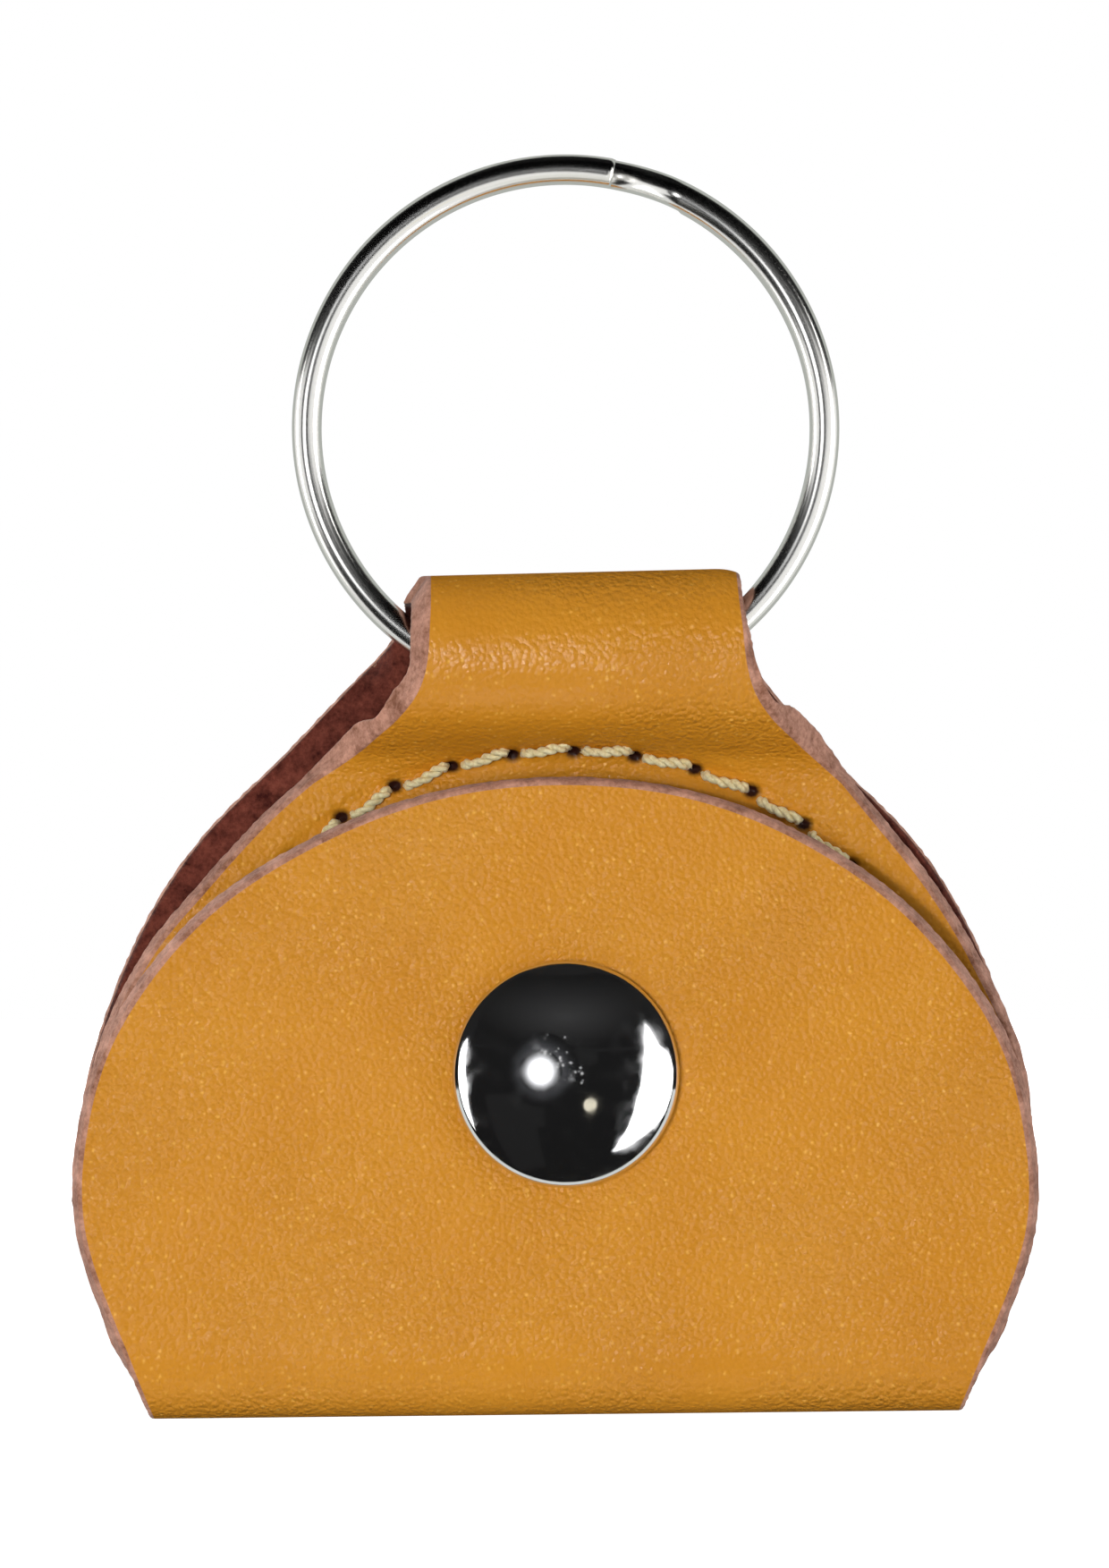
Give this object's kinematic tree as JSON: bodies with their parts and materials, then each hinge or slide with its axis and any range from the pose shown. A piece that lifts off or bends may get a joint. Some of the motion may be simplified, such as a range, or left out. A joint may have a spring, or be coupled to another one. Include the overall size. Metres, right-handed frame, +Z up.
{
  "type": "pick holder key ring",
  "caption": "Leather guitar pick holder on a split key ring, with a stitched loop, a pocket for flat picks and a fold-over flap closed by a domed spring snap.",
  "frame": {"origin": "centre of the key ring, midway between its two turns", "axes": "+Z up as the holder hangs, X across the holder, -Y out of the front with the snap"},
  "size_m": [0.0529, 0.0107, 0.0691],
  "materials": {
    "leather": "pebbled grain outside, suede flesh side",
    "thread": "twisted",
    "ring_chrome": "polished nickel",
    "cap_chrome": "mirror polish",
    "snap_steel": "nickel plated"
  },
  "bodies": {
    "ring": {"split_ring": "ring_chrome"},
    "holder": {"leather_strap": "leather", "needle_thread": "thread", "bobbin_thread": "thread", "stud": "snap_steel", "stud_post": "snap_steel"},
    "flap": {"leather_flap": "leather", "cap_shell": "cap_chrome", "cap_post": "snap_steel", "socket_body": "snap_steel", "socket_retainer": "snap_steel", "socket_spring": "snap_steel"}
  },
  "joints": [
    {"name": "loop_swing", "type": "hinge", "parent": "ring", "child": "holder", "pos_m": [0, 0, -0.0123], "axis": [1, 0, 0], "range_deg": [-90, 25]},
    {"name": "flap_fold", "type": "hinge", "parent": "holder", "child": "flap", "pos_m": [0, 0.00045, -0.05425], "axis": [1, 0, 0], "range_deg": [0, 150], "deforming": ["socket_spring"]}
  ]
}
